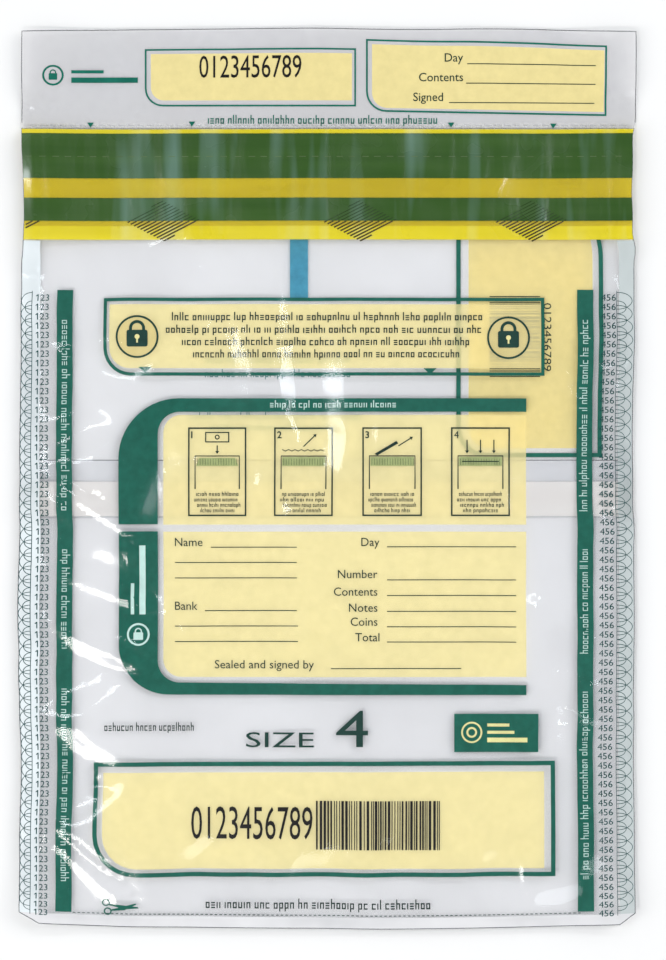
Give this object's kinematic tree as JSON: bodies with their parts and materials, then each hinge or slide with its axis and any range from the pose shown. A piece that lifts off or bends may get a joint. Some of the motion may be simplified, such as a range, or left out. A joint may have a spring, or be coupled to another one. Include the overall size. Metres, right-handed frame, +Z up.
{
  "type": "cash deposit bag",
  "caption": "Flat clear film deposit bag with welded sides, a peel-and-seal closing lip with green security tape, a tear-off receipt strip and a rear document pouch.",
  "frame": {"origin": "middle of the bag's footprint, on the surface that it lies on", "axes": "+X across the bag, +Y from the bottom fold to the mouth and receipt, +Z up out of the printed front face"},
  "size_m": [0.2286, 0.335, 0.0059],
  "materials": {
    "clear_film": "clear glossy polyethylene film, creased, printed with green, yellow and black inks",
    "welded_film": "fused film edge, slightly cloudy and rippled",
    "security_tape": "dark green tamper-evident tape, glossy",
    "adhesive": "clear tacky adhesive coat",
    "yellow_liner": "bright yellow release liner with dark hatched diamonds",
    "white_liner": "opaque white release liner"
  },
  "bodies": {
    "bag": {"front_panel": "clear_film", "back_panel": "clear_film", "left_side_weld": "welded_film", "right_side_weld": "welded_film", "bottom_fold": "welded_film", "pouch_panel": "clear_film"},
    "lip": {"closure_lip": "clear_film", "upper_security_tape": "security_tape", "lower_security_tape": "security_tape", "closure_adhesive": "adhesive"},
    "closure_liner": {"closure_release_liner": "yellow_liner"},
    "perforation": {"perforation_strip": "clear_film"},
    "receipt": {"receipt_strip": "clear_film"},
    "pouch_flap": {"pouch_lip": "clear_film", "pouch_adhesive": "adhesive"},
    "pouch_liner": {"pouch_release_liner": "white_liner"}
  },
  "joints": [
    {"name": "lip_fold", "type": "hinge", "parent": "bag", "child": "lip", "pos_m": [0, 0.0884, 0.006], "axis": [1, 0, 0], "range_deg": [0, 165]},
    {"name": "closure_liner_peel", "type": "slide", "parent": "lip", "child": "closure_liner", "axis": [0, 1, 0], "range_m": [0, 0.046]},
    {"name": "receipt_fold", "type": "hinge", "parent": "bag", "child": "perforation", "pos_m": [0, 0.1306, 0.0006], "axis": [1, 0, 0], "range_deg": [0, 90]},
    {"name": "receipt_tear", "type": "slide", "parent": "perforation", "child": "receipt", "axis": [0, 1, 0], "range_m": [0, 0.04]},
    {"name": "pouch_lip_fold", "type": "hinge", "parent": "bag", "child": "pouch_flap", "pos_m": [0, -0.015, -0.0001], "axis": [1, 0, 0], "range_deg": [-165, 0]},
    {"name": "pouch_liner_peel", "type": "slide", "parent": "pouch_flap", "child": "pouch_liner", "axis": [1, 0, 0], "range_m": [0, 0.23]}
  ]
}
